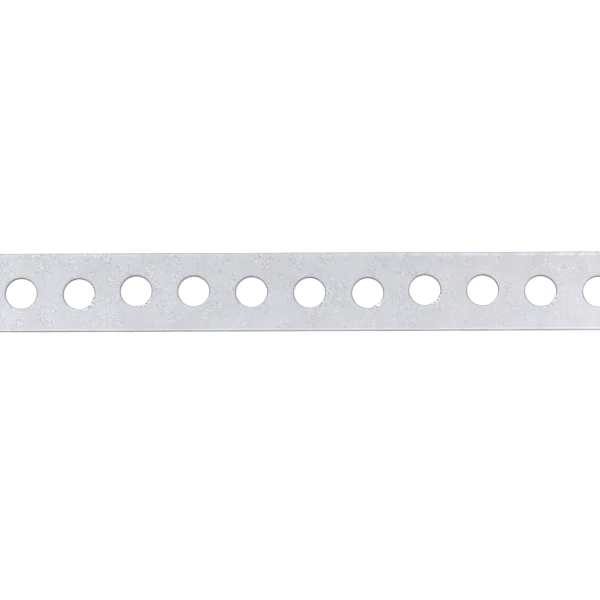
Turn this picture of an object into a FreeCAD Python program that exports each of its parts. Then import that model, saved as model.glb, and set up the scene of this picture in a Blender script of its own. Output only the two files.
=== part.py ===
"""Perforated metal strap: a flat strip of zinc-coated steel with one row of round bolt holes.

The strap is made by cutting alone. Slitting shears trim a sheet to width, a cut-off punch parts
it to length, and a gang of five punches makes the holes. Every cut comes from above and leaves
the same three bands from the upper face down: a rolled-over corner, an upright polished land,
and a break that leans away into the metal. Each punch of the gang stands a few tenths of a
millimetre off the true row, and this scatter comes again every five holes.

The strap lies on its lower face. +X runs along it, +Y across it and +Z out of its upper face.
The origin is in the middle of the lower face. Sizes are in millimetres.
"""

import FreeCAD, Part
import math
import os
import Sketcher
from enum import IntEnum
from FreeCAD import Vector

# The driving dimensions: name, value, and what it measures.
SIZES = (
    ("strap_length", 270.0, "length of the strap over its cut ends"),
    ("strap_width", 25.0, "width of the strap over its slit edges"),
    ("strap_thickness", 1.5, "thickness of the coated sheet"),
    ("hole_diameter", 9.9, "diameter of a hole at its land"),
    ("hole_pitch", 18.0, "spacing of the holes along the strap"),
    ("land_depth", 0.5, "height of the land of every cut"),
    ("slit_roll_width", 0.4, "width of the rolled-over corner of a slit edge or a cut end"),
    ("slit_roll_depth", 0.2, "depth of the rolled-over corner of a slit edge or a cut end"),
    ("slit_break_width", 0.06, "how far the break of a slit edge or a cut end leans back"),
    ("hole_roll_width", 0.42, "width of the rolled-over rim of a hole"),
    ("hole_roll_depth", 0.15, "depth of the rolled-over rim of a hole"),
    ("hole_break_width", 0.05, "how far the break of a hole leans back"),
    ("first_punch_along", -0.08, "first punch: offset along the strap"),
    ("first_punch_across", 0.29, "first punch: offset across the strap"),
    ("second_punch_along", -0.05, "second punch: offset along the strap"),
    ("second_punch_across", 0.01, "second punch: offset across the strap"),
    ("third_punch_along", 0.04, "third punch: offset along the strap"),
    ("third_punch_across", -0.27, "third punch: offset across the strap"),
    ("fourth_punch_along", 0.15, "fourth punch: offset along the strap"),
    ("fourth_punch_across", -0.44, "fourth punch: offset across the strap"),
    ("fifth_punch_along", -0.06, "fifth punch: offset along the strap"),
    ("fifth_punch_across", 0.42, "fifth punch: offset across the strap"),
)
PUNCHES = ("first", "second", "third", "fourth", "fifth")

# Whole pitches that fit in the length. The small share takes up rounding in the division.
HOLE_COUNT = "floor(sizes.strap_length / sizes.hole_pitch + 0.001)"

# How far a cut reaches past the faces that it goes through, and the trim left on each side of
# the blank for the cuts to take off.
OVERRUN = 1.0
TRIM = 0.5


class SketchAxis(IntEnum):
    """The numbers by which a sketch knows its own axes."""

    HORIZONTAL = -1
    VERTICAL = -2


class SketchPoint(IntEnum):
    """The numbers by which a sketch knows the points of a line or an arc."""

    START = 1
    END = 2
    CENTRE = 3


START, END, CENTRE = SketchPoint


def add_sizes(doc):
    """Puts the driving dimensions into a spreadsheet."""
    sheet = doc.addObject("Spreadsheet::Sheet", "sizes")
    for row, (alias, value, meaning) in enumerate(SIZES, start=1):
        sheet.set(f"A{row}", meaning)
        sheet.set(f"B{row}", str(value))
        sheet.setAlias(f"B{row}", alias)
    doc.recompute()


def origin_feature(body, role):
    """The plane or axis of the body's own origin that has this role."""
    return next(feature for feature in body.Origin.OriginFeatures if feature.Role == role)


def add_sketch(body, name, role):
    """Starts a sketch on one of the body's origin planes."""
    sketch = body.newObject("Sketcher::SketchObject", name)
    sketch.AttachmentSupport = [(origin_feature(body, role), "")]
    sketch.MapMode = "FlatFace"
    return sketch


def constrain(sketch, *constraints):
    """Adds constraints without a size, each given as the arguments that it is made from."""
    for arguments in constraints:
        sketch.addConstraint(Sketcher.Constraint(*arguments))


def measure(sketch, name, expression, *arguments):
    """Adds a dimension, names it and ties its value to an expression."""
    index = sketch.addConstraint(Sketcher.Constraint(*arguments))
    sketch.renameConstraint(index, name)
    sketch.setExpression(f"Constraints.{name}", expression)


def add_path(sketch, points):
    """Draws straight lines that join the points in turn and returns their numbers."""
    lines = []
    for begin, end in zip(points, points[1:]):
        lines.append(sketch.addGeometry(Part.LineSegment(Vector(*begin), Vector(*end))))
    for line, following in zip(lines, lines[1:]):
        constrain(sketch, ("Coincident", line, END, following, START))
    return lines


def add_blank(body, sheet):
    """The piece of sheet that the cuts start from: a plate with some trim on all four sides."""
    half_length = sheet.strap_length / 2 + TRIM
    half_width = sheet.strap_width / 2 + TRIM
    sketch = add_sketch(body, "blank_outline", "XY_Plane")
    corners = [
        (-half_length, -half_width),
        (half_length, -half_width),
        (half_length, half_width),
        (-half_length, half_width),
    ]
    south, east, north, west = add_path(sketch, corners + corners[:1])
    constrain(
        sketch,
        ("Coincident", west, END, south, START),
        ("Symmetric", south, START, south, END, SketchAxis.VERTICAL),
        ("Symmetric", east, START, east, END, SketchAxis.HORIZONTAL),
        ("Horizontal", north),
        ("Vertical", west),
    )
    length = ("DistanceX", south, START, south, END, 2 * half_length)
    width = ("DistanceY", east, START, east, END, 2 * half_width)
    measure(sketch, "length", f"sizes.strap_length + 2 * {TRIM}", *length)
    measure(sketch, "width", f"sizes.strap_width + 2 * {TRIM}", *width)

    blank = body.newObject("PartDesign::Pad", "blank")
    blank.Profile = sketch
    blank.setExpression("Length", "sizes.strap_thickness")
    return blank


def add_cut_profile(body, sheet, name, plane, kind, reach, reach_now):
    """Draws the section of the metal that one cut takes away, as a closed outline.

    The outline stands on the plane's vertical axis, and the metal that stays lies to its left.
    Its left side is the cut: an arc for the rolled-over corner, which leaves the upper face
    smoothly, then the upright land and the leaning break. kind picks the sizes of these. reach
    is the expression for the land's distance from the vertical axis, and reach_now its value.
    """
    roll_width = getattr(sheet, f"{kind}_roll_width")
    roll_depth = getattr(sheet, f"{kind}_roll_depth")
    break_width = getattr(sheet, f"{kind}_break_width")
    land_depth = sheet.land_depth
    top = sheet.strap_thickness
    land_top = top - roll_depth
    land_foot = land_top - land_depth
    corner = -reach_now - roll_width
    toe = -reach_now - break_width

    sketch = add_sketch(body, name, plane)
    land, flank, below, floor, axis, ceiling, above = add_path(
        sketch,
        [
            (-reach_now, land_top),
            (-reach_now, land_foot),
            (toe, 0),
            (toe, -OVERRUN),
            (0, -OVERRUN),
            (0, top + OVERRUN),
            (corner, top + OVERRUN),
            (corner, top),
        ],
    )
    radius = (roll_width**2 + roll_depth**2) / (2 * roll_depth)
    circle = Part.Circle(Vector(corner, top - radius), Vector(0, 0, 1), radius)
    steepest = math.acos(roll_width / radius)
    roll = sketch.addGeometry(Part.ArcOfCircle(circle, steepest, math.pi / 2))
    constrain(
        sketch,
        ("Coincident", roll, START, land, START),
        ("Coincident", roll, END, above, END),
        ("Vertical", roll, CENTRE, roll, END),
        ("Vertical", land),
        ("Vertical", below),
        ("Horizontal", floor),
        ("Horizontal", ceiling),
        ("Vertical", above),
        ("PointOnObject", below, START, SketchAxis.HORIZONTAL),
        ("PointOnObject", axis, START, SketchAxis.VERTICAL),
        ("PointOnObject", axis, END, SketchAxis.VERTICAL),
    )

    own = f"sizes.{kind}"
    for size in (
        ("reach", reach, "DistanceX", land, START, axis, END, reach_now),
        ("roll_width", f"{own}_roll_width", "DistanceX", roll, END, roll, START, roll_width),
        ("roll_depth", f"{own}_roll_depth", "DistanceY", roll, START, roll, END, roll_depth),
        ("land_depth", "sizes.land_depth", "DistanceY", land, END, land, START, land_depth),
        ("break_width", f"{own}_break_width", "DistanceX", flank, END, flank, START, break_width),
        ("thickness", "sizes.strap_thickness", "DistanceY", flank, END, above, END, top),
        ("overrun_below", f"{OVERRUN}", "DistanceY", below, END, below, START, OVERRUN),
        ("overrun_above", f"{OVERRUN}", "DistanceY", above, END, above, START, OVERRUN),
    ):
        measure(sketch, *size)
    return sketch


def add_trimmed_sides(body, sheet, name, section_plane, mirror_plane, span):
    """Cuts one side of the blank with the slit profile, and mirrors the cut to the other side.

    span is the name of the size from one cut side to the other.
    """
    sketch = add_cut_profile(
        body, sheet, f"{name}_profile", section_plane, "slit", f"{OVERRUN}", OVERRUN
    )
    sketch.setExpression("AttachmentOffset.Base.x", f"sizes.{span} / 2 + {OVERRUN}")

    cut = body.newObject("PartDesign::Pocket", f"{name}_cut")
    cut.Profile = sketch
    cut.SideType = "Symmetric"
    cut.Type = "ThroughAll"

    pair = body.newObject("PartDesign::Mirrored", f"{name}_cuts")
    pair.Originals = [cut]
    pair.MirrorPlane = (origin_feature(body, mirror_plane), [""])
    body.Tip = pair
    return cut, pair


def add_punched_holes(body, sheet, place, word):
    """Punches the holes of one punch of the gang, which are one gang apart along the strap.

    place is how many pitches the punch stands behind the first hole of the strap, and word is
    the punch's name in the sizes.
    """
    gang = len(PUNCHES)
    sketch = add_cut_profile(
        body,
        sheet,
        f"{word}_punch_profile",
        "XZ_Plane",
        "hole",
        "sizes.hole_diameter / 2",
        sheet.hole_diameter / 2,
    )
    along = f"({place} - ({HOLE_COUNT} - 1) / 2) * sizes.hole_pitch + sizes.{word}_punch_along"
    # The normal of this plane points along -Y, so the offset across the strap changes sign.
    sketch.setExpression("AttachmentOffset.Base.x", along)
    sketch.setExpression("AttachmentOffset.Base.z", f"-sizes.{word}_punch_across")

    hole = body.newObject("PartDesign::Groove", f"{word}_punch_hole")
    hole.Profile = sketch
    hole.ReferenceAxis = (sketch, ["V_Axis"])
    hole.Angle = 360

    row = body.newObject("PartDesign::LinearPattern", f"{word}_punch_holes")
    row.Originals = [hole]
    row.Direction = (origin_feature(body, "X_Axis"), [""])
    row.Mode = "Spacing"
    row.setExpression("Offset", f"{gang} * sizes.hole_pitch")
    row.setExpression("Occurrences", f"floor(({HOLE_COUNT} - 1 - {place}) / {gang}) + 1")
    body.Tip = row
    return hole, row


def add_strap(doc):
    """Builds the strap as one body and returns it with its cuts in the order that they are made."""
    sheet = doc.getObject("sizes")
    body = doc.addObject("PartDesign::Body", "strap")
    body.Label = "strap"
    body.Placement = FreeCAD.Placement()

    steps = [add_blank(body, sheet)]
    steps += add_trimmed_sides(body, sheet, "slit", "YZ_Plane", "XZ_Plane", "strap_width")
    steps += add_trimmed_sides(body, sheet, "end", "XZ_Plane", "YZ_Plane", "strap_length")
    for place, word in enumerate(PUNCHES):
        steps += add_punched_holes(body, sheet, place, word)
    doc.recompute()
    return body, steps


def check(doc, body, steps):
    """Stops with a message if a step failed, or if a cut took nothing away."""
    for item in doc.Objects:
        if "Invalid" in item.State or "Error" in item.State:
            raise RuntimeError(f"{item.Name} could not be made: {item.State}")
    if body.Shape.isNull() or not body.Shape.isValid():
        raise RuntimeError(f"{body.Label} has no valid shape")
    if len(body.Shape.Solids) != 1:
        raise RuntimeError(f"{body.Label} fell into {len(body.Shape.Solids)} solids")
    for before, after in zip(steps, steps[1:]):
        single = getattr(after, "Occurrences", 2) == 1
        if not single and after.Shape.Volume >= before.Shape.Volume:
            raise RuntimeError(f"{after.Name} took nothing away")


def main():
    doc = FreeCAD.newDocument("perforated_metal_strap")
    add_sizes(doc)
    strap, steps = add_strap(doc)
    check(doc, strap, steps)
    os.makedirs("parts", exist_ok=True)
    strap.Shape.exportStep(os.path.join("parts", f"{strap.Label}.step"))
    box = strap.Shape.BoundBox
    print(f"{strap.Label}: {box.XLength:.2f} x {box.YLength:.2f} x {box.ZLength:.2f} mm")
    print(f"{strap.Label}: {strap.Shape.Volume:.1f} cubic millimetres")


main()
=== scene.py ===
"""Perforated metal strap: how the zinc-coated strip with its row of punched holes looks.

The strap is one closed shell. Each pitch of it is a cell with one hole: a grid that starts at
the cell's border on the lower face, runs in to the hole, climbs the hole's wall and runs out
again over the upper face. A band round the outside joins the two faces along the slit edges
and the cut ends. Lengths are in metres unless a name or a docstring says millimetres.
"""

from __future__ import annotations

import logging
import math
from dataclasses import dataclass, field
from enum import Enum
from functools import reduce
from typing import Any

import bmesh
import bpy
import numpy as np
from mathutils import Matrix, Vector


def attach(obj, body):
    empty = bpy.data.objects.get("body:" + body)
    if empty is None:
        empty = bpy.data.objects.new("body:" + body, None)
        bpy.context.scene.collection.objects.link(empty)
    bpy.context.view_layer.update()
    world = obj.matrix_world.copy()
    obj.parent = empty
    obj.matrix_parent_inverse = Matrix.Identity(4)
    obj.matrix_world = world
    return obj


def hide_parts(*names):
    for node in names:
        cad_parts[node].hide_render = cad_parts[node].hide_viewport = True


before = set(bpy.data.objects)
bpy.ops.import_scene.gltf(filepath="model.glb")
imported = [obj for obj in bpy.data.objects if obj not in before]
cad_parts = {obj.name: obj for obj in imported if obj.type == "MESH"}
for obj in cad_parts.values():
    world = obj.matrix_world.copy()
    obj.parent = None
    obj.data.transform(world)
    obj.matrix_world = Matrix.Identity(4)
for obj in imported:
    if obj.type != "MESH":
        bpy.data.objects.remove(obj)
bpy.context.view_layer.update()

log = logging.getLogger("perforated_strap")

Pair = tuple[float, float]
Triple = tuple[float, float, float]
Marks = dict[str, np.ndarray]

MM = 0.001
SHEET = 1.5 * MM
TINY = 1e-9


class Band(Enum):
    """The bands of a cut, from the upper face down, with the rows of quads that each gets."""

    ROLL = 4
    LAND = 3
    BREAK = 5


class Tint(Enum):
    """The faint casts of the zinc coating, as factors on its colour."""

    BLUISH = (0.974, 0.995, 1.028)
    PLAIN = (1.0, 1.0, 1.0)
    LILAC = (1.004, 0.991, 1.026)
    GREENISH = (0.989, 1.003, 0.982)
    WARM = (1.015, 1.0, 0.981)


# Shapes


def ring_noise(rng: np.random.Generator, shape: tuple[int, ...], reach: int) -> np.ndarray:
    """Smooth random numbers on a closed ring, with an average of 0 and a spread of 1.

    Normal random numbers are averaged with their two neighbours along the last axis, which is
    taken as a ring, as many times as reach says.

    Args:
        rng: The source of the random numbers.
        shape: The shape of the array, whose last axis runs round the ring.
        reach: How often the numbers are averaged.

    Returns:
        An array of that shape.
    """
    values = rng.normal(size=shape)
    for _ in range(reach):
        values = (np.roll(values, 1, -1) + values + np.roll(values, -1, -1)) / 3
    values -= values.mean(-1, keepdims=True)
    return values / np.maximum(values.std(-1, keepdims=True), TINY)


@dataclass(frozen=True)
class CutShape:
    """The section of one kind of cut through the sheet: rolled corner, land and break."""

    roll_width: float
    roll_depth: float
    break_width: float
    land_depth: float = 0.5 * MM
    thickness: float = SHEET

    def section(self) -> tuple[np.ndarray, np.ndarray, np.ndarray]:
        """The section from the upper face down, row by row.

        The roll is an arc that leaves the upper face smoothly: its setback is the roll's width
        less R sin a, and its height the thickness less R (1 - cos a). The land is upright, and
        the break leans back in a straight line. The swing is 0 at the top of the land and at
        the foot of the break and 1 where the two meet. The tear is 0 down to that line and
        the root of sin(pi t) below it, with t from 0 to 1 down the break.

        Returns:
            How far each row stands back from the land, its height, and its swing and tear
            stacked as two rows.
        """
        radius = (self.roll_width**2 + self.roll_depth**2) / (2 * self.roll_depth)
        angle = np.linspace(0, math.asin(self.roll_width / radius), Band.ROLL.value + 1)
        land = np.linspace(0, 1, Band.LAND.value + 1)[1:]
        torn = np.linspace(0, 1, Band.BREAK.value + 1)[1:]
        land_top = self.thickness - self.roll_depth
        land_foot = land_top - self.land_depth
        rolled_back = self.roll_width - radius * np.sin(angle)
        rolled_down = self.thickness - radius * (1 - np.cos(angle))
        setback = np.concatenate([rolled_back, 0 * land, self.break_width * torn])
        height = np.concatenate([rolled_down, land_top - self.land_depth * land, land_foot * (1 - torn)])
        swing = np.concatenate([0 * angle, land, 1 - torn])
        tear = np.concatenate([0 * angle, 0 * land, np.sin(np.pi * torn) ** 0.5])
        return setback, height, np.stack([swing, tear])


def cut_depth(rows: int) -> np.ndarray:
    """How deep each row of a section is in the cut: 0 at the face, 1 from the land down."""
    return np.minimum(np.arange(rows) / Band.ROLL.value, 1)


def turned(angle: np.ndarray, clock_deg: float) -> np.ndarray:
    """How far these angles are turned from a direction in degrees, from -pi to pi."""
    return np.mod(angle - math.radians(clock_deg) + math.pi, 2 * math.pi) - math.pi


@dataclass(frozen=True)
class ZincBead:
    """A bead of zinc and torn metal that hangs on the rim of one hole."""

    hole: int
    clock_deg: float
    width: float
    reach: float


@dataclass(frozen=True)
class SheetWaves:
    """The long shallow waves of the sheet: a ripple, a slanting wave and a slow bend."""

    height: float = 0.02 * MM
    ripple: Pair = (5.1 * MM, 6.4 * MM)
    ripple_shift: Pair = (1.3, 0.4)
    slant: Pair = (3.3 * MM, 4.2 * MM)
    slant_share: float = 0.7
    bend: float = 11 * MM
    bend_shift: float = 2.1
    bend_share: float = 0.6

    def level(self, x: np.ndarray, y: np.ndarray) -> np.ndarray:
        """How high the waves stand, which is half the height times the sum of the three.

        The ripple is sin(x / its reach along + shift) times sin(y / its reach across + shift).
        The slant is sin(x / its reach along - y / its reach across), and the bend is
        sin(x / its reach + shift), each times its share.

        Args:
            x: Places along the strap.
            y: Places across the strap.

        Returns:
            The level of the waves at each of them.
        """
        along, across = self.ripple_shift
        ripple = np.sin(x / self.ripple[0] + along) * np.sin(y / self.ripple[1] + across)
        slant = self.slant_share * np.sin(x / self.slant[0] - y / self.slant[1])
        bend = self.bend_share * np.sin(x / self.bend + self.bend_shift)
        return self.height * (ripple + slant + bend) / 2


@dataclass
class PunchedStrap:
    """The strap: one shell with all its holes, cuts and small faults of manufacture.

    The middle and the spread of the beads are heights, as shares of the thickness.
    """

    length: float = 270 * MM
    width: float = 25 * MM
    thickness: float = SHEET
    hole_diameter: float = 9.9 * MM
    hole_coat: float = 0.09 * MM
    pitch: float = 18 * MM
    holes: int = 15
    hole_cut: CutShape = CutShape(roll_width=0.42 * MM, roll_depth=0.15 * MM, break_width=0.05 * MM)
    slit_cut: CutShape = CutShape(roll_width=0.4 * MM, roll_depth=0.2 * MM, break_width=0.06 * MM)
    punch_offsets: tuple[Pair, ...] = (
        (-0.08 * MM, 0.29 * MM),
        (-0.05 * MM, 0.01 * MM),
        (0.04 * MM, -0.27 * MM),
        (0.15 * MM, -0.44 * MM),
        (-0.06 * MM, 0.42 * MM),
    )
    along_steps: int = 36
    across_steps: int = 48
    upper_rings: int = 9
    lower_rings: int = 3
    ring_crowding: float = 1.5
    land_line_wander: float = 0.07 * MM
    tear_roughness: float = 0.02 * MM
    draw_down: float = 0.02 * MM
    draw_down_reach: float = 1.6 * MM
    waves: SheetWaves = SheetWaves()
    line_smoothing: int = 3
    tear_smoothing: int = 1
    beads: tuple[ZincBead, ...] = (
        ZincBead(2, -24, 0.32 * MM, 0.14 * MM),
        ZincBead(3, -20, 0.45 * MM, 0.38 * MM),
        ZincBead(3, -47, 0.40 * MM, 0.22 * MM),
        ZincBead(4, -42, 0.36 * MM, 0.24 * MM),
        ZincBead(7, -33, 0.32 * MM, 0.15 * MM),
        ZincBead(8, -63, 0.36 * MM, 0.26 * MM),
        ZincBead(9, -50, 0.38 * MM, 0.36 * MM),
        ZincBead(9, -71, 0.32 * MM, 0.26 * MM),
        ZincBead(11, -43, 0.50 * MM, 0.42 * MM),
        ZincBead(13, -38, 0.35 * MM, 0.20 * MM),
    )
    bead_cover: float = 0.15 * MM
    bead_middle: float = 0.75
    bead_spread: float = 0.3
    teeth_clock_deg: float = -48
    teeth_span_deg: float = 28
    fine_teeth: float = 0.04 * MM
    torn_teeth: float = 0.17 * MM
    torn_reach: float = 0.23 * MM
    # The direction in the plan of the side marked 1, which the painted shade of the rims follows.
    shade_side_axis: Pair = (-0.26, 0.97)
    seed: int = 7
    crease_deg: float = 30.0

    def hole_centres(self) -> np.ndarray:
        """Where the holes are: an even row, with the own offset of each punch added.

        Returns:
            Points in the plan, as holes x 2.
        """
        place = np.arange(self.holes)
        offset = np.array(self.punch_offsets)[place % len(self.punch_offsets)]
        even = (place - (self.holes - 1) / 2) * self.pitch
        return np.stack([even + offset[:, 0], offset[:, 1]], 1)

    def cell_borders(self) -> np.ndarray:
        """The border of every cell, going round from its lower right corner.

        The borders stand back from the strap's outline by the slit's rolled corner. A border is
        the right side going up, the upper side going left, the left side going down and the
        lower side going right, each in even steps.

        Returns:
            Points in the plan, as cells x points x 2.
        """
        inset = self.slit_cut.roll_width
        sides = (np.arange(self.holes + 1) - self.holes / 2) * self.pitch
        sides[0], sides[-1] = inset - self.length / 2, self.length / 2 - inset
        left, right = sides[:-1, None], sides[1:, None]
        top = self.width / 2 - inset
        rise = np.linspace(0, 1, self.across_steps, endpoint=False)[None]
        run = np.linspace(0, 1, self.along_steps, endpoint=False)[None]
        back, forth = right + (left - right) * run, left + (right - left) * run
        up, level = top * (2 * rise - 1) + 0 * left, top + 0 * run + 0 * left
        x = np.concatenate([right + 0 * rise, back, left + 0 * rise, forth], 1)
        y = np.concatenate([up, level, -up, -level], 1)
        return np.stack([x, y], -1)

    def ragged_share(self, angle: np.ndarray) -> np.ndarray:
        """How ragged the rims are at these angles.

        It is a bell curve round the side where the wiped zinc gathered, full on a torn hole,
        which is one with a bead beyond the torn reach, and weaker on the others.

        Args:
            angle: Angles of the rim's points, as holes x points.

        Returns:
            Shares from 0 to 1, in the same shape.
        """
        turn = turned(angle, self.teeth_clock_deg) / math.radians(self.teeth_span_deg)
        beaded = [bead.hole for bead in self.beads if bead.reach > self.torn_reach]
        torn = np.isin(np.arange(self.holes), beaded)
        return np.exp(-(turn**2)) * np.where(torn, 1.0, self.fine_teeth / self.torn_teeth)[:, None]

    def bead_swell(self, angle: np.ndarray, rng: np.random.Generator) -> np.ndarray:
        """How far the beads and teeth stand into their holes at these angles.

        The teeth are the ragged share times the height of torn teeth times a noise. Each bead
        adds a bell curve along the rim: its reach times exp(-(s / width)^2), where s is the
        way along the rim from the bead's middle.

        Args:
            angle: Angles of the rim's points, as holes x points.
            rng: The source of the random numbers.

        Returns:
            The swell, in metres, in the same shape.
        """
        noise = ring_noise(rng, angle.shape, self.tear_smoothing)
        swell = self.ragged_share(angle) * self.torn_teeth * noise
        for bead in self.beads:
            way = turned(angle[bead.hole], bead.clock_deg) * self.hole_diameter / 2
            swell[bead.hole] += bead.reach * np.exp(-((way / bead.width) ** 2))
        return swell

    def cell_loops(self, rng: np.random.Generator) -> tuple[np.ndarray, Marks]:
        """The loops of every cell, from its border below to its border above.

        A point of the wall is its hole's centre plus a way times the direction to the border's
        point. The way is radius - coat + setback + roughness * tear - swell * hang, and the
        hang is a bell curve down the wall round the middle of the beads. A point of a face is
        a blend from the rim's point to the border's point, with the rings crowded towards the
        rim. The marks are how deep each point is in the cut, less where a bead coats it, which
        side of its hole it is on (1 towards the far side and -1 towards the near side, which
        steers the painted shade of the rims), how far it lies in gathered drops, and 1 for
        punched.

        Args:
            rng: The source of the random numbers.

        Returns:
            The points as cells x loops x points x 3, and the marks as cells x loops x points.
        """
        border = self.cell_borders()
        centre = self.hole_centres()[:, None]
        spoke = border - centre
        angle = np.arctan2(spoke[..., 1], spoke[..., 0])
        spoke /= np.linalg.norm(spoke, axis=-1, keepdims=True)

        setback, height, (swing, tear) = self.hole_cut.section()
        rows, points = len(setback), border.shape[1]
        wander = self.land_line_wander * ring_noise(rng, (self.holes, 1, points), self.line_smoothing)
        rough = self.tear_roughness * ring_noise(rng, (self.holes, rows, points), self.tear_smoothing)
        swell = self.bead_swell(angle, rng)[:, None]
        below = (height - self.bead_middle * self.thickness) / (self.bead_spread * self.thickness)
        hang = np.exp(-(below**2))[:, None]
        coated = self.hole_diameter / 2 - self.hole_coat
        away = coated + setback[:, None] + rough * tear[:, None] - swell * hang
        z = height[:, None] + wander * swing[:, None]
        plan = centre[:, None] + away[..., None] * spoke[:, None]
        wall = np.concatenate([plan, np.broadcast_to(z[..., None], plan.shape[:-1] + (1,))], -1)
        wall = wall[:, ::-1]

        lower = self.face_rings(wall[:, 0], border, self.lower_rings)[:, ::-1]
        upper = self.face_rings(wall[:, -1], border, self.upper_rings)
        loops = np.concatenate([lower, wall, upper], 1)
        depth, drops = np.zeros(loops.shape[:3]), np.zeros(loops.shape[:3])
        bare = 1 - hang * np.clip(swell / self.bead_cover, 0, 1)
        foot, top = self.lower_rings, self.lower_rings + rows
        depth[:, foot:top] = (cut_depth(rows)[:, None] * bare)[:, ::-1]
        drops[:, foot : top + 1] = self.ragged_share(angle)[:, None]
        side = np.broadcast_to((spoke @ np.array(self.shade_side_axis))[:, None], depth.shape)
        ones = np.ones_like(depth)
        return loops, {"cut_depth": depth, "rim_side": side, "zinc_drops": drops, "punched": ones}

    def face_rings(self, rim: np.ndarray, border: np.ndarray, rings: int) -> np.ndarray:
        """The loops of a face between the rim of its hole and the cell's border.

        A loop is (1 - s) times the rim plus s times the border, with s the ring's share raised
        to the crowding's power, and it keeps the rim's height.

        Args:
            rim: The rim's points, as cells x points x 3.
            border: The border's points in the plan, as cells x points x 2.
            rings: How many loops there are beyond the rim.

        Returns:
            The loops beyond the rim, as cells x rings x points x 3.
        """
        share = (np.arange(1, rings + 1)[:, None, None] / rings) ** self.ring_crowding
        plan = (1 - share) * rim[:, None, :, :2] + share * border[:, None]
        z = np.broadcast_to(rim[:, None, :, 2:], plan.shape[:-1] + (1,))
        return np.concatenate([plan, z], -1)

    def outline(self) -> tuple[np.ndarray, np.ndarray]:
        """The border of the whole face, going round from its lower right corner.

        Returns:
            The points in the plan, and for each the way out of the strap: one unit square to
            its side, or one unit along both axes at a corner.
        """
        border = self.cell_borders()
        rise, run = self.across_steps, self.along_steps
        parts = (
            border[-1, :rise],
            border[::-1, rise : rise + run].reshape(-1, 2),
            border[0, rise + run : 2 * rise + run],
            border[:, 2 * rise + run :].reshape(-1, 2),
        )
        plan = np.concatenate(parts)
        limit = np.abs(plan).max(0)
        out = np.sign(plan) * (np.abs(plan) > limit - TINY)
        return plan, out

    def edge_loops(self, rng: np.random.Generator) -> tuple[np.ndarray, Marks]:
        """The loops of the band round the outside, from the upper face down.

        A point is the outline's point plus (roll width - setback - roughness * tear) times the
        way out. Of the marks, only the depth in the cut isn't 0 here.

        Args:
            rng: The source of the random numbers.

        Returns:
            The points as 1 x loops x points x 3, and the marks as 1 x loops x points.
        """
        plan, out = self.outline()
        setback, height, (swing, tear) = self.slit_cut.section()
        points = len(plan)
        wander = self.land_line_wander * ring_noise(rng, (1, points), self.line_smoothing)
        rough = self.tear_roughness * ring_noise(rng, (len(setback), points), self.tear_smoothing)
        away = self.slit_cut.roll_width - setback[:, None] - rough * tear[:, None]
        spot = plan[None] + away[..., None] * out[None]
        z = height[:, None] + wander * swing[:, None]
        loops = np.concatenate([spot, z[..., None]], -1)[None]
        depth = np.broadcast_to(cut_depth(len(setback))[:, None], loops.shape[:3])
        zeros = 0 * depth
        return loops, {"cut_depth": depth, "rim_side": zeros, "zinc_drops": zeros, "punched": zeros}

    def relief(self, points: np.ndarray) -> np.ndarray:
        """How far the upper face stands above or below a true plane.

        Round each hole the punch draws the sheet down: -depth times exp(-gap / reach), where gap
        is the way from the rim. The sheet's long waves are added.

        Args:
            points: Points in the plan, as rows of at least 2.

        Returns:
            The height of the relief at each of them.
        """
        x, y = points[:, 0], points[:, 1]
        nearest = np.clip(np.rint(x / self.pitch + (self.holes - 1) / 2), 0, self.holes - 1)
        near = self.hole_centres()[nearest.astype(int)]
        gap = np.maximum(np.hypot(x - near[:, 0], y - near[:, 1]) - self.hole_diameter / 2, 0)
        drawn = -self.draw_down * np.exp(-gap / self.draw_down_reach)
        return drawn + self.waves.level(x, y)

    def build(self) -> bpy.types.Object:
        """Makes the closed shell as one mesh object.

        The relief of the upper face is added to every point in proportion to its height.

        Returns:
            The strap, at the origin, with its marks as attributes of the mesh.
        """
        rng = np.random.default_rng(self.seed)
        cells, cell_marks = self.cell_loops(rng)
        edge, edge_marks = self.edge_loops(rng)
        points = np.concatenate([cells.reshape(-1, 3), edge.reshape(-1, 3)])
        points[:, 2] += self.relief(points) * points[:, 2] / self.thickness
        faces = [loop_quads(cells.shape[:3]), loop_quads(edge.shape[:3]) + cells.size // 3]

        mesh = bpy.data.meshes.new("strap_shell")
        mesh.from_pydata(points, [], np.concatenate(faces))
        for name, values in cell_marks.items():
            values = np.concatenate([values.ravel(), edge_marks[name].ravel()])
            layer = mesh.attributes.new(name, "FLOAT", "POINT")
            layer.data.foreach_set("value", values.astype(np.float32))
        weld(mesh)
        mesh.shade_smooth()
        mesh.set_sharp_from_angle(angle=math.radians(self.crease_deg))
        strap = bpy.data.objects.new("punched_strap", mesh)
        bpy.context.scene.collection.objects.link(strap)
        return strap


def loop_quads(shape: tuple[int, int, int]) -> np.ndarray:
    """The quads of stacks of closed loops, each loop joined to the next of its stack.

    Point j of loop k makes a quad with its neighbour j + 1 and with both points above them.

    Args:
        shape: How many stacks, loops in a stack and points in a loop there are.

    Returns:
        Rows of four point numbers, counted through the stacks in order.
    """
    number = np.arange(np.prod(shape)).reshape(shape)
    here, above = number[:, :-1], number[:, 1:]
    quads = [here, above, np.roll(above, -1, -1), np.roll(here, -1, -1)]
    return np.stack(quads, -1).reshape(-1, 4)


def weld(mesh: bpy.types.Mesh, gap: float = 0.001 * MM) -> None:
    """Merges the points that neighbouring cells share, and checks that the shell is closed.

    Args:
        mesh: The mesh to weld.
        gap: How close two points are that count as one.
    """
    work = bmesh.new()
    work.from_mesh(mesh)
    bmesh.ops.remove_doubles(work, verts=work.verts, dist=gap)
    open_edges = sum(not edge.is_manifold for edge in work.edges)
    volume = work.calc_volume(signed=True)
    work.to_mesh(mesh)
    work.free()
    log.info("shell volume %.1f mm3, %d open edges", volume / MM**3, open_edges)


# Finishes

Socket = bpy.types.NodeSocket
Tree = bpy.types.NodeTree
# A span is a start and an end, each a number or a socket.
Span = tuple[Any, Any]

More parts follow.
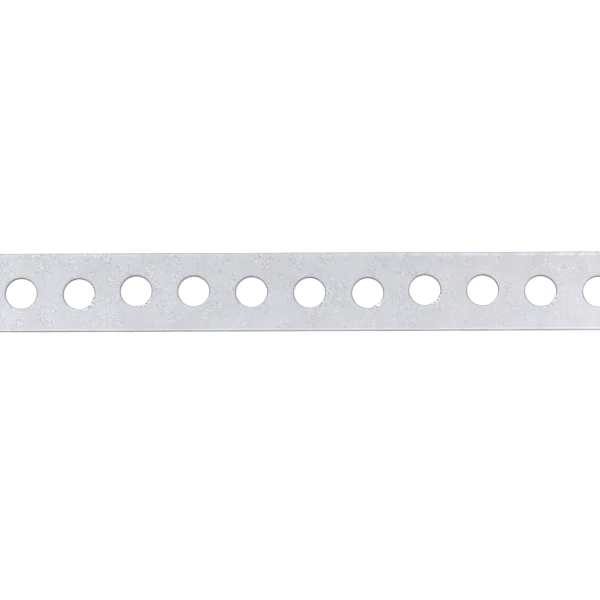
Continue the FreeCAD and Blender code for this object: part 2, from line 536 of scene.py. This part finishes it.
FLOAT, COLOUR, VECTOR = "NodeSocketFloat", "NodeSocketColor", "NodeSocketVector"
ALONG, ACROSS, UP = 0, 1, 2


def add_node(tree: Tree, kind: str, values: dict[Any, Any], **settings: Any) -> bpy.types.Node:
    """Adds one node to a tree.

    Args:
        tree: The node tree.
        kind: Blender's name of the node type.
        values: What goes into its inputs, by input name or number. A socket is linked and
            anything else is set.
        **settings: The node's own properties.

    Returns:
        The new node.
    """
    node = tree.nodes.new(kind)
    for name, value in settings.items():
        setattr(node, name, value)
    for key, value in values.items():
        if isinstance(value, Socket):
            tree.links.new(value, node.inputs[key])
        else:
            node.inputs[key].default_value = value
    return node


def calc(tree: Tree, operation: str, *terms: Any, clamp: bool = False) -> Socket:
    """The result of a Math node on these terms."""
    values = dict(enumerate(terms))
    return add_node(tree, "ShaderNodeMath", values, operation=operation, use_clamp=clamp).outputs[0]


def ramp(tree: Tree, value: Socket, span: Span, result: Span = (0.0, 1.0)) -> Socket:
    """The value taken smoothly from one span of numbers into another.

    Args:
        tree: The node tree.
        value: The number to take across.
        span: Where the ramp starts and ends; outside it the result stays level.
        result: What the ramp's start and end become.

    Returns:
        The result.
    """
    values = dict(enumerate((value, *span, *result)))
    return add_node(tree, "ShaderNodeMapRange", values, interpolation_type="SMOOTHSTEP").outputs[0]


def product(tree: Tree, *factors: Socket) -> Socket:
    """These numbers multiplied together."""
    return reduce(lambda result, factor: calc(tree, "MULTIPLY", result, factor), factors)


def mixed(tree: Tree, share: Socket, first: Any, second: Any) -> Socket:
    """Two numbers mixed, with the second taking this share."""
    return add_node(tree, "ShaderNodeMix", {0: share, 2: first, 3: second}).outputs[0]


def blend(tree: Tree, mode: str, share: Any, first: Any, second: Any) -> Socket:
    """The two colours blended in this mode, with the second taking this share."""
    values = {0: share, 6: first, 7: second}
    return add_node(tree, "ShaderNodeMix", values, data_type="RGBA", blend_type=mode).outputs[2]


def vector(tree: Tree, operation: str, *terms: Any) -> Socket:
    """The result of a Vector Math node on these terms.

    Args:
        tree: The node tree.
        operation: Blender's name of the operation.
        *terms: Sockets or triples of numbers.

    Returns:
        A vector, or a number where the operation is a dot product.
    """
    node = add_node(tree, "ShaderNodeVectorMath", dict(enumerate(terms)), operation=operation)
    return node.outputs["Value" if operation == "DOT_PRODUCT" else "Vector"]


def axis(tree: Tree, place: Socket, number: int) -> Socket:
    """One coordinate of the place: ALONG, ACROSS or UP."""
    return add_node(tree, "ShaderNodeSeparateXYZ", {0: place}).outputs[number]


def attribute(tree: Tree, name: str) -> Socket:
    """The value of the mesh attribute of this name."""
    return add_node(tree, "ShaderNodeAttribute", {}, attribute_name=name).outputs["Fac"]


def rgba(colour: Triple) -> tuple[float, float, float, float]:
    """A colour with full cover."""
    return (*colour, 1.0)


@dataclass(frozen=True)
class Noise:
    """One noise texture: its scale per millimetre, detail, roughness and stretch."""

    scale: float
    detail: float = 2.0
    rough: float = 0.5
    stretch: Triple = (1.0, 1.0, 1.0)

    def node(self, tree: Tree, place: Socket) -> bpy.types.Node:
        """Places the texture.

        Args:
            tree: The node tree.
            place: The place it is read at, which is multiplied by the stretch first.

        Returns:
            The texture's node.
        """
        read = vector(tree, "MULTIPLY", place, self.stretch)
        values = {"Vector": read, "Scale": self.scale, "Detail": self.detail, "Roughness": self.rough}
        return add_node(tree, "ShaderNodeTexNoise", values)

    def value(self, tree: Tree, place: Socket) -> Socket:
        """The texture's number at this place, mostly between 0.3 and 0.7."""
        return self.node(tree, place).outputs[0]


@dataclass
class EffectGroup:
    """A shader node group that is being made, with named inputs and outputs."""

    name: str
    inputs: dict[str, str]
    outputs: dict[str, str]
    tree: Tree = field(init=False)
    taken: bpy.types.Node = field(init=False)

    def __post_init__(self) -> None:
        """Makes the empty group with its sockets. Every group has the place as an input."""
        self.tree = bpy.data.node_groups.new(self.name, "ShaderNodeTree")
        for side, sockets in (("INPUT", {"Place": VECTOR, **self.inputs}), ("OUTPUT", self.outputs)):
            for name, kind in sockets.items():
                self.tree.interface.new_socket(name, in_out=side, socket_type=kind)
        self.taken = self.tree.nodes.new("NodeGroupInput")

    def input(self, name: str) -> Socket:
        """The group's own input of this name, as a socket inside the group."""
        return self.taken.outputs[name]

    def close(self, **results: Socket) -> Tree:
        """Links the results to the group's outputs and hands back the finished tree."""
        add_node(self.tree, "NodeGroupOutput", results)
        return self.tree


@dataclass(frozen=True)
class ZincClouds:
    """Soft patches of the coating that differ a little in cast and in lightness.

    The cast runs through the tints of Tint with one slow noise, and turns to the far cast
    along the strap. The lightness is level + depth * cloud + mottle depth * mottle, plus a
    painted light gradient: a fixed vector dotted with the place, which makes the face lighter
    towards the near edge. The cloud runs from -1 to 1. Places are in millimetres here and in
    every effect.
    """

    cast: Noise = Noise(0.07, 4.0, 0.6)
    cast_span: Span = (0.36, 0.64)
    far_cast: Triple = (1.012, 0.989, 0.984)
    far_span: Span = (15.0, 95.0)
    cloud: Noise = Noise(0.075, 5.0, 0.76)
    cloud_span: Span = (0.3, 0.7)
    cloud_shift: Triple = (31.0, 7.0, 0.0)
    cloud_depth: float = 0.05
    mottle: Noise = Noise(0.5, 2.0, 0.55)
    mottle_depth: float = 0.05
    level: float = 0.972
    # Painted light: the face gets lighter towards the near edge.
    painted_light_lean: Triple = (0.0, -0.0021, 0.0)

    def group(self) -> Tree:
        """Builds the group.

        Returns:
            A group with the input Base, the coating's colour, and the output Color.
        """
        group = EffectGroup("zinc_clouds", {"Base": COLOUR}, {"Color": COLOUR})
        tree, place = group.tree, group.input("Place")
        scale = add_node(tree, "ShaderNodeValToRGB", {0: self.cast.value(tree, place)})
        tints = list(Tint)
        positions = np.linspace(*self.cast_span, len(tints)).tolist()
        points = scale.color_ramp.elements
        for position in positions[1:-1]:
            points.new(position)
        for point, position, tint in zip(points, positions, tints):
            point.position = position
            point.color = rgba(tint.value)
        tinted = blend(tree, "MULTIPLY", 1.0, group.input("Base"), scale.outputs[0])
        drift = ramp(tree, axis(tree, place, ALONG), self.far_span)
        tinted = blend(tree, "MULTIPLY", drift, tinted, rgba(self.far_cast))

        shifted = vector(tree, "ADD", place, self.cloud_shift)
        cloud = ramp(tree, self.cloud.value(tree, shifted), self.cloud_span, (-1.0, 1.0))
        lightness = calc(tree, "MULTIPLY_ADD", cloud, self.cloud_depth, self.level)
        mottle = self.mottle.value(tree, place)
        lightness = calc(tree, "MULTIPLY_ADD", mottle, self.mottle_depth, lightness)
        # Painted light gradient across the strap.
        lightness = calc(tree, "ADD", lightness, vector(tree, "DOT_PRODUCT", place, self.painted_light_lean))
        return group.close(Color=blend(tree, "MULTIPLY", 1.0, tinted, lightness))


@dataclass(frozen=True)
class ZincSpecks:
    """Fine light and dark specks that gather in loose clusters, over a very fine grain.

    Each cell of a fine mosaic gets a random number from 0 to 1. Cells with a number in the
    light span or above it hold a light speck, and those equally near 0 a dark one, round and
    smaller than the cell. A noise says where specks gather. Along the strap they get fewer and
    fainter, and across it a little stronger.
    """

    size: float = 0.38
    stretch: Triple = (1.9, 0.78, 1.0)
    bend: Noise = Noise(0.9)
    bend_reach: Triple = (0.5, 0.5, 0.0)
    dot_span: Span = (0.15, 0.5)
    light_span: Pair = (0.6, 0.94)
    gather: Noise = Noise(0.3, 2.5)
    gather_span: Span = (0.45, 0.565)
    gathered: Span = (0.05, 0.95)
    along_span: Span = (-120.0, 110.0)
    along_fade: Span = (0.98, 0.84)
    thinning: Span = (0.0, -0.047)
    across_span: Span = (-14.0, 12.0)
    across_fade: Span = (0.75, 1.05)
    grain: Noise = Noise(2.2, 3.0, 0.7, (2.0, 0.7, 1.0))
    grain_depth: float = 0.12

    def group(self) -> Tree:
        """Builds the group.

        Returns:
            A group with the outputs Shade, from -1 to 1, and Height, from 0 to 1.
        """
        group = EffectGroup("zinc_specks", {}, {"Shade": FLOAT, "Height": FLOAT})
        tree, place = group.tree, group.input("Place")
        jitter = self.bend.node(tree, place).outputs["Color"]
        bent = vector(tree, "MULTIPLY_ADD", jitter, self.bend_reach, place)
        values = {"Vector": vector(tree, "MULTIPLY", bent, self.stretch), "Scale": 1.0 / self.size}
        mosaic = add_node(tree, "ShaderNodeTexVoronoi", values, voronoi_dimensions="2D")
        draw = add_node(tree, "ShaderNodeSeparateColor", {0: mosaic.outputs["Color"]}).outputs[0]
        dark_span = (1.0 - self.light_span[0], 1.0 - self.light_span[1])
        signed = calc(tree, "SUBTRACT", ramp(tree, draw, self.light_span), ramp(tree, draw, dark_span))
        dot = ramp(tree, mosaic.outputs["Distance"], self.dot_span, (1.0, 0.0))
        thinned = ramp(tree, axis(tree, place, ALONG), self.along_span, self.thinning)
        gather = calc(tree, "ADD", self.gather.value(tree, place), thinned)
        gather = ramp(tree, gather, self.gather_span, self.gathered)
        along = ramp(tree, axis(tree, place, ALONG), self.along_span, self.along_fade)
        across = ramp(tree, axis(tree, place, ACROSS), self.across_span, self.across_fade)
        specks = product(tree, signed, dot, gather, along, across)
        grain = calc(tree, "SUBTRACT", self.grain.value(tree, place), 0.5)
        shade = calc(tree, "MULTIPLY_ADD", grain, self.grain_depth, specks)
        return group.close(Shade=shade, Height=calc(tree, "MULTIPLY_ADD", shade, 0.5, 0.5, clamp=True))


@dataclass(frozen=True)
class DrawnStreaks:
    """Faint streaks across the strap, left by the wiping of the wet coating.

    A noise is squeezed along the strap and stretched across it. Another slow noise says where
    the streaks show, and they fade along the strap.
    """

    fine: Noise = Noise(1.0, 2.0, 0.6, (0.9, 0.05, 0.0))
    fine_span: Span = (0.3, 0.7)
    patches: Noise = Noise(1.0, 2.0, 0.5, (0.07, 0.03, 0.0))
    patch_span: Span = (0.42, 0.6)
    along_span: Span = (-70.0, 40.0)
    along_fade: Span = (1.0, 0.35)

    def group(self) -> Tree:
        """Builds the group.

        Returns:
            A group with the output Shade, from about -1 to 1.
        """
        group = EffectGroup("drawn_streaks", {}, {"Shade": FLOAT})
        tree, place = group.tree, group.input("Place")
        streaks = ramp(tree, self.fine.value(tree, place), self.fine_span, (-1.0, 1.0))
        shown = ramp(tree, self.patches.value(tree, place), self.patch_span)
        fade = ramp(tree, axis(tree, place, ALONG), self.along_span, self.along_fade)
        return group.close(Shade=product(tree, shown, fade, streaks))


@dataclass(frozen=True)
class PaintedGlintDashes:
    """Painted highlight dash marks just inside the far edge, on its roll.

    They lie between an inner and an outer line across the strap, and grow stronger along it.
    """

    inner_span: Span = (10.9, 11.5)
    outer_span: Span = (12.15, 11.9)
    glint_dashes: Noise = Noise(1.0, 3.0, 0.6, (0.17, 0.0, 0.0))
    dash_span: Span = (0.4, 0.6)
    along_span: Span = (-10.0, 60.0)
    along_growth: Span = (0.2, 1.0)

    def group(self) -> Tree:
        """Builds the group.

        Returns:
            A group with the output Shade, from 0 to 1.
        """
        group = EffectGroup("painted_glint_dashes", {}, {"Shade": FLOAT})
        tree, place = group.tree, group.input("Place")
        across = axis(tree, place, ACROSS)
        shade = ramp(tree, self.glint_dashes.value(tree, place), self.dash_span)
        growth = ramp(tree, axis(tree, place, ALONG), self.along_span, self.along_growth)
        inner, outer = ramp(tree, across, self.inner_span), ramp(tree, across, self.outer_span)
        return group.close(Shade=product(tree, shade, inner, outer, growth))


@dataclass(frozen=True)
class RimPaintedShade:
    """How the rolled corners differ in lightness from the face.

    The rims of the holes get painted shade towards the land, set by the side of the hole:
    the factor is 1 - (1 - darkest) * ramp of the depth, and the darkest factor and the ramp's
    start and end follow the side of the hole. The slit edges get painted shade with the
    depth, the far one most, and a painted highlight line lightens the near one where its
    roll starts.
    """

    # Painted shade of the hole rims: how dark, and over which depths, by the side of the hole.
    darkest_side: Span = (-0.85, -0.2)
    darkest: Span = (0.8, 0.34)
    start_side: Span = (0.0, 1.0)
    start: Span = (0.0, 0.85)
    end_side: Span = (-0.3, 0.5)
    end: Span = (0.6, 1.0)
    # Painted shade of the slit edges' rolled corners, darkest on the far edge.
    slit_across: Span = (-12.0, 12.0)
    slit_darkest: Span = (0.95, 0.5)
    slit_depth: Span = (0.0, 0.9)
    # A painted highlight line along the roll of the near slit edge.
    highlight_inner: Span = (-11.75, -11.95)
    highlight_outer: Span = (-12.45, -12.25)
    painted_highlight: float = 0.26

    def group(self) -> Tree:
        """Builds the group.

        Returns:
            A group with three marks of the mesh as inputs, and the output Shade, a factor.
        """
        inputs = {"cut_depth": FLOAT, "rim_side": FLOAT, "punched": FLOAT}
        group = EffectGroup("rim_painted_shade", inputs, {"Shade": FLOAT})
        tree, depth, side = group.tree, group.input("cut_depth"), group.input("rim_side")
        across = axis(tree, group.input("Place"), ACROSS)
        loss = calc(tree, "SUBTRACT", 1.0, ramp(tree, side, self.darkest_side, self.darkest))
        start = ramp(tree, side, self.start_side, self.start)
        end = ramp(tree, side, self.end_side, self.end)
        rim = calc(tree, "SUBTRACT", 1.0, calc(tree, "MULTIPLY", ramp(tree, depth, (start, end)), loss))
        slit_end = ramp(tree, across, self.slit_across, self.slit_darkest)
        slit = ramp(tree, depth, self.slit_depth, (1.0, slit_end))
        inner, outer = ramp(tree, across, self.highlight_inner), ramp(tree, across, self.highlight_outer)
        line = calc(tree, "MULTIPLY", inner, outer)
        rolled = mixed(tree, group.input("punched"), slit, rim)
        return group.close(Shade=calc(tree, "MULTIPLY_ADD", line, self.painted_highlight, rolled))


@dataclass(frozen=True)
class BareCut:
    """The bare steel of a cut: a burnished land with upright scoring over a torn break.

    The land keeps its own colour down to the wandering line where the tear starts.
    """

    tear_line: float = 0.86
    wander: Noise = Noise(1.1)
    wander_reach: float = 0.16
    bare_span: Span = (0.85, 1.0)
    torn_span: Span = (-0.03, 0.05)
    scoring: Noise = Noise(5.0, 2.0, 0.6, (1.0, 1.0, 0.06))
    scoring_shade: Span = (0.8, 1.15)
    scoring_height: float = 0.4
    grain: Noise = Noise(4.0, 3.0, 0.7)
    grain_shade: Span = (0.65, 1.35)
    noise_span: Span = (0.3, 0.7)
    roughness: Span = (0.5, 0.85)

    def group(self) -> Tree:
        """Builds the group.

        Returns:
            A group with the depth in the cut and the colours Land and Break as inputs, and the
            outputs Bare, Color, Roughness and Height.
        """
        inputs = {"cut_depth": FLOAT, "Land": COLOUR, "Break": COLOUR}
        outputs = {"Bare": FLOAT, "Color": COLOUR, "Roughness": FLOAT, "Height": FLOAT}
        group = EffectGroup("bare_cut", inputs, outputs)
        tree, place = group.tree, group.input("Place")
        wander = self.wander.value(tree, place)
        wander = calc(tree, "MULTIPLY_ADD", wander, self.wander_reach, -self.wander_reach / 2)
        level = calc(tree, "ADD", axis(tree, place, UP), wander)
        torn = ramp(tree, calc(tree, "SUBTRACT", self.tear_line, level), self.torn_span)
        scoring, grain = self.scoring.value(tree, place), self.grain.value(tree, place)
        scored = ramp(tree, scoring, self.noise_span, self.scoring_shade)
        grained = ramp(tree, grain, self.noise_span, self.grain_shade)
        land = blend(tree, "MULTIPLY", 1.0, group.input("Land"), scored)
        broken = blend(tree, "MULTIPLY", 1.0, group.input("Break"), grained)
        return group.close(
            Bare=ramp(tree, group.input("cut_depth"), self.bare_span),
            Color=blend(tree, "MIX", torn, land, broken),
            Roughness=ramp(tree, torn, (0.0, 1.0), self.roughness),
            Height=mixed(tree, torn, calc(tree, "MULTIPLY", scoring, self.scoring_height), grain),
        )


@dataclass(frozen=True)
class ZincFinish:
    """The finish of the whole strap: matt pale zinc on the faces, bare steel in the cuts."""

    slot: str = "zinc_coated_steel"
    zinc: Triple = (0.655, 0.668, 0.702)
    # Bare steel of the hole walls, darkened well below the slit edges' steel as painted shade inside the
    # holes.
    shaded_hole_land: Triple = (0.13, 0.132, 0.138)
    shaded_hole_break: Triple = (0.08, 0.081, 0.085)
    slit_land: Triple = (0.5, 0.505, 0.515)
    slit_break: Triple = (0.6, 0.603, 0.61)
    metallic: float = 0.35
    roughness: float = 0.5
    speck_gloss: float = 0.12
    speck_depth: float = 0.65
    streak_depth: float = 0.026
    glint_depth: float = 0.21
    # Painted glints and dark dots on the ragged rims where the zinc drops gather.
    drop_glints_and_pits: Noise = Noise(1.9, 1.0)
    drop_span: Span = (0.36, 0.64)
    drop_glint_and_pit_depth: float = 0.55
    stains: Noise = Noise(1.0, 3.0, 0.6, (0.07, 0.05, 0.0))
    stain_span: Span = (0.42, 0.58)
    stain_shade: Span = (0.7, 1.12)
    bump_distance: float = 0.015 * MM

    def material(self) -> bpy.types.Material:
        """Wires the material.

        Both the face and the cuts give a colour, a roughness and a height, and the cuts' mask
        says which of the two shows. The height feeds one bump.

        Returns:
            The finished material.
        """
        material = bpy.data.materials.new(self.slot)
        material.use_nodes = True
        tree = material.node_tree
        tree.nodes.clear()
        spot = add_node(tree, "ShaderNodeTexCoord", {}).outputs["Object"]
        place = vector(tree, "MULTIPLY", spot, (1 / MM, 1 / MM, 1 / MM))
        specks = self.effect(tree, ZincSpecks(), Place=place)
        cut = self.cuts(tree, place)
        bare = cut.outputs["Bare"]
        face_rough = calc(tree, "MULTIPLY_ADD", specks.outputs["Shade"], -self.speck_gloss, self.roughness)
        height = mixed(tree, bare, specks.outputs["Height"], cut.outputs["Height"])
        bump = {"Height": height, "Distance": self.bump_distance, "Strength": 1.0}
        colour = blend(tree, "MIX", bare, self.face(tree, place, specks), cut.outputs["Color"])
        values = {
            "Base Color": colour,
            "Roughness": mixed(tree, bare, face_rough, cut.outputs["Roughness"]),
            "Metallic": calc(tree, "MULTIPLY_ADD", bare, -self.metallic, self.metallic),
            "Normal": add_node(tree, "ShaderNodeBump", bump).outputs[0],
        }
        shader = add_node(tree, "ShaderNodeBsdfPrincipled", values)
        add_node(tree, "ShaderNodeOutputMaterial", {"Surface": shader.outputs[0]})
        return material

    def face(self, tree: Tree, place: Socket, specks: bpy.types.Node) -> Socket:
        """The coating's colour: the clouded zinc times a shade.

        The shade is 1 plus the specks, the streaks and the painted highlight dash marks, times
        the factor of painted shade and painted highlight on the rolled rims, plus painted glints
        and dark dots on the gathered drops.

        Args:
            tree: The material's node tree.
            place: The place in millimetres.
            specks: The node with the specks.

        Returns:
            The colour.
        """
        streaks = self.effect(tree, DrawnStreaks(), Place=place)
        # Painted highlight dash marks by the far edge.
        glint_dashes = self.effect(tree, PaintedGlintDashes(), Place=place)
        layers = ((specks, self.speck_depth), (streaks, self.streak_depth), (glint_dashes, self.glint_depth))
        shade: Any = 1.0
        for layer, depth in layers:
            shade = calc(tree, "MULTIPLY_ADD", layer.outputs["Shade"], depth, shade)
        marks = {name: attribute(tree, name) for name in ("cut_depth", "rim_side", "punched")}
        # Painted shade on the rolled rims and slit edges, with a painted highlight line on the near edge.
        rims = self.effect(tree, RimPaintedShade(), Place=place, **marks)
        shade = calc(tree, "MULTIPLY", rims.outputs["Shade"], shade)
        # Painted glints and dark dots where the zinc drops gather on the rims.
        glints_and_pits = self.drop_glints_and_pits.value(tree, place)
        glints_and_pits = ramp(tree, glints_and_pits, self.drop_span, (-self.drop_glint_and_pit_depth, self.drop_glint_and_pit_depth))
        shade = calc(tree, "MULTIPLY_ADD", attribute(tree, "zinc_drops"), glints_and_pits, shade)
        clouds = self.effect(tree, ZincClouds(), Place=place, Base=rgba(self.zinc))
        return blend(tree, "MULTIPLY", 1.0, clouds.outputs["Color"], shade)

    def cuts(self, tree: Tree, place: Socket) -> bpy.types.Node:
        """The bare steel of the cuts: dark in the holes, where the steel's own colour is darkened by
        painted shade, and pale with stains on the outside.

        Args:
            tree: The material's node tree.
            place: The place in millimetres.

        Returns:
            The node of the effect.
        """
        stains = ramp(tree, self.stains.value(tree, place), self.stain_span, self.stain_shade)
        punched = attribute(tree, "punched")
        colours = {"Land": (self.slit_land, self.shaded_hole_land), "Break": (self.slit_break, self.shaded_hole_break)}
        values = {"Place": place, "cut_depth": attribute(tree, "cut_depth")}
        for name, (slit, hole) in colours.items():
            stained = blend(tree, "MULTIPLY", 1.0, rgba(slit), stains)
            values[name] = blend(tree, "MIX", punched, stained, rgba(hole))
        return self.effect(tree, BareCut(), **values)

    def effect(self, tree: Tree, effect: Any, **values: Any) -> bpy.types.Node:
        """Builds an effect's group and places it in the material with these values."""
        return add_node(tree, "ShaderNodeGroup", values, node_tree=effect.group())


# Studio


@dataclass(frozen=True)
class Softbox:
    """A square lamp that hangs over the strap."""

    name: str
    place: Triple
    aim: Triple
    side: float
    power: float
    spread_deg: float = 180.0

    def build(self) -> bpy.types.Object:
        """Hangs the lamp in its place and points it at its aim.

        Returns:
            The lamp, which the camera doesn't see.
        """
        lamp = bpy.data.lights.new(self.name, "AREA")
        lamp.shape = "SQUARE"
        lamp.size = self.side
        lamp.energy = self.power
        lamp.spread = math.radians(self.spread_deg)
        box = bpy.data.objects.new(self.name, lamp)
        box.location = self.place
        back = Vector(self.place) - Vector(self.aim)
        box.rotation_euler = back.to_track_quat("Z", "Y").to_euler()
        box.visible_camera = False
        bpy.context.scene.collection.objects.link(box)
        return box


@dataclass
class Studio:
    """The white table, the light and the camera."""

    floor_side: float = 40.0
    floor_gap: float = 0.01 * MM
    floor_colour: Triple = (0.8, 0.8, 0.8)
    floor_glow: float = 0.72
    ambient: float = 0.42
    lamps: tuple[Softbox, ...] = (
        Softbox("overhead_softbox", (-0.5, 1.2, 1.8), (0.0, 0.0, 0.0), 1.2, 13.2),
        Softbox("left_softbox", (-0.2, -0.03, 0.3), (-0.2, -0.03, 0.0), 0.1, 0.028, 75.0),
        Softbox("right_softbox", (0.18, -0.03, 0.3), (0.18, -0.03, 0.0), 0.1, 0.043, 75.0),
    )
    aim: Triple = (-2.90 * MM, -2.79 * MM, 1.5 * MM)
    distance: float = 1.6
    tilt_deg: float = 13.3
    sideways: float = 43.5 * MM
    roll_deg: float = 0.176
    lens_mm: float = 308.47

    def build_floor(self) -> bpy.types.Object:
        """Lays the table just under the strap.

        Returns:
            The floor, which is not attached to the strap's body.
        """
        half, level = self.floor_side / 2, -self.floor_gap
        mesh = bpy.data.meshes.new("white_table")
        turns = ((-1, -1), (1, -1), (1, 1), (-1, 1))
        mesh.from_pydata([(half * x, half * y, level) for x, y in turns], [], [(0, 1, 2, 3)])
        floor = bpy.data.objects.new("white_table", mesh)
        bpy.context.scene.collection.objects.link(floor)
        material = bpy.data.materials.new("white_table")
        material.use_nodes = True
        tree = material.node_tree
        tree.nodes.clear()
        seen = self.background_rays(tree)
        matt = add_node(tree, "ShaderNodeBsdfDiffuse", {"Color": rgba(self.floor_colour)}).outputs[0]
        strength = calc(tree, "MULTIPLY", seen, self.floor_glow)
        glow = add_node(tree, "ShaderNodeEmission", {"Strength": strength}).outputs[0]
        both = add_node(tree, "ShaderNodeAddShader", {0: matt, 1: glow}).outputs[0]
        add_node(tree, "ShaderNodeOutputMaterial", {"Surface": both})
        mesh.materials.append(material)
        return floor

    def background_rays(self, tree: Tree) -> Socket:
        """Picks the rays in which the white background is seen.

        Args:
            tree: The node tree of the floor's or the world's shader.

        Returns:
            1 for camera, glossy and transmission rays, and 0 for the others.
        """
        rays = add_node(tree, "ShaderNodeLightPath", {}).outputs
        mirrored = calc(tree, "MAXIMUM", rays["Is Glossy Ray"], rays["Is Transmission Ray"])
        return calc(tree, "MAXIMUM", rays["Is Camera Ray"], mirrored)

    def build_light(self) -> None:
        """Sets the even light from all round and hangs the softboxes."""
        world = bpy.data.worlds.new("studio_air")
        world.use_nodes = True
        tree = world.node_tree
        tree.nodes.clear()
        seen = self.background_rays(tree)
        strength = calc(tree, "MULTIPLY_ADD", seen, 1.0 - self.ambient, self.ambient)
        air = add_node(tree, "ShaderNodeBackground", {"Color": rgba((1, 1, 1)), "Strength": strength})
        add_node(tree, "ShaderNodeOutputWorld", {"Surface": air.outputs[0]})
        bpy.context.scene.world = world
        for lamp in self.lamps:
            lamp.build()

    def build_camera(self) -> bpy.types.Object:
        """Sets up the camera, which looks down on the strap from a little in front of it.

        Its axes are worked out from the line of sight: right is +Y crossed with the way back,
        up is the way back crossed with right, and both are turned by the roll.

        Returns:
            The camera.
        """
        aim = Vector(self.aim)
        tilt, roll = math.radians(self.tilt_deg), math.radians(self.roll_deg)
        stand = aim + Vector((0, -self.distance * math.sin(tilt), self.distance * math.cos(tilt)))
        stand.x = self.sideways
        back = (stand - aim).normalized()
        level = Vector((0, 1, 0)).cross(back).normalized()
        upright = back.cross(level)
        right = level * math.cos(roll) + upright * math.sin(roll)
        up = upright * math.cos(roll) - level * math.sin(roll)
        data = bpy.data.cameras.new("studio_camera")
        data.lens = self.lens_mm
        camera = bpy.data.objects.new("studio_camera", data)
        camera.matrix_world = Matrix.Translation(stand) @ Matrix((right, up, back)).transposed().to_4x4()
        bpy.context.scene.collection.objects.link(camera)
        bpy.context.scene.camera = camera
        return camera


def main() -> None:
    """Builds the strap, dresses it and sets up the studio."""
    logging.basicConfig(level=logging.INFO, format="%(name)s: %(message)s")
    log.info("frame nodes %s", sorted(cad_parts))
    bpy.context.scene.view_settings.view_transform = "Standard"

    strap = PunchedStrap().build()
    finish = ZincFinish()
    strap.data.materials.append(finish.material())
    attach(strap, "root")
    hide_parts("strap")
    quads = len(strap.data.polygons)
    log.info("%s: %d faces, %d triangles", strap.name, quads, 2 * quads)

    studio = Studio()
    studio.build_floor()
    studio.build_light()
    camera = studio.build_camera()
    log.info("camera stands at %s", [round(value, 4) for value in camera.matrix_world.translation])


if __name__ == "__main__":
    main()
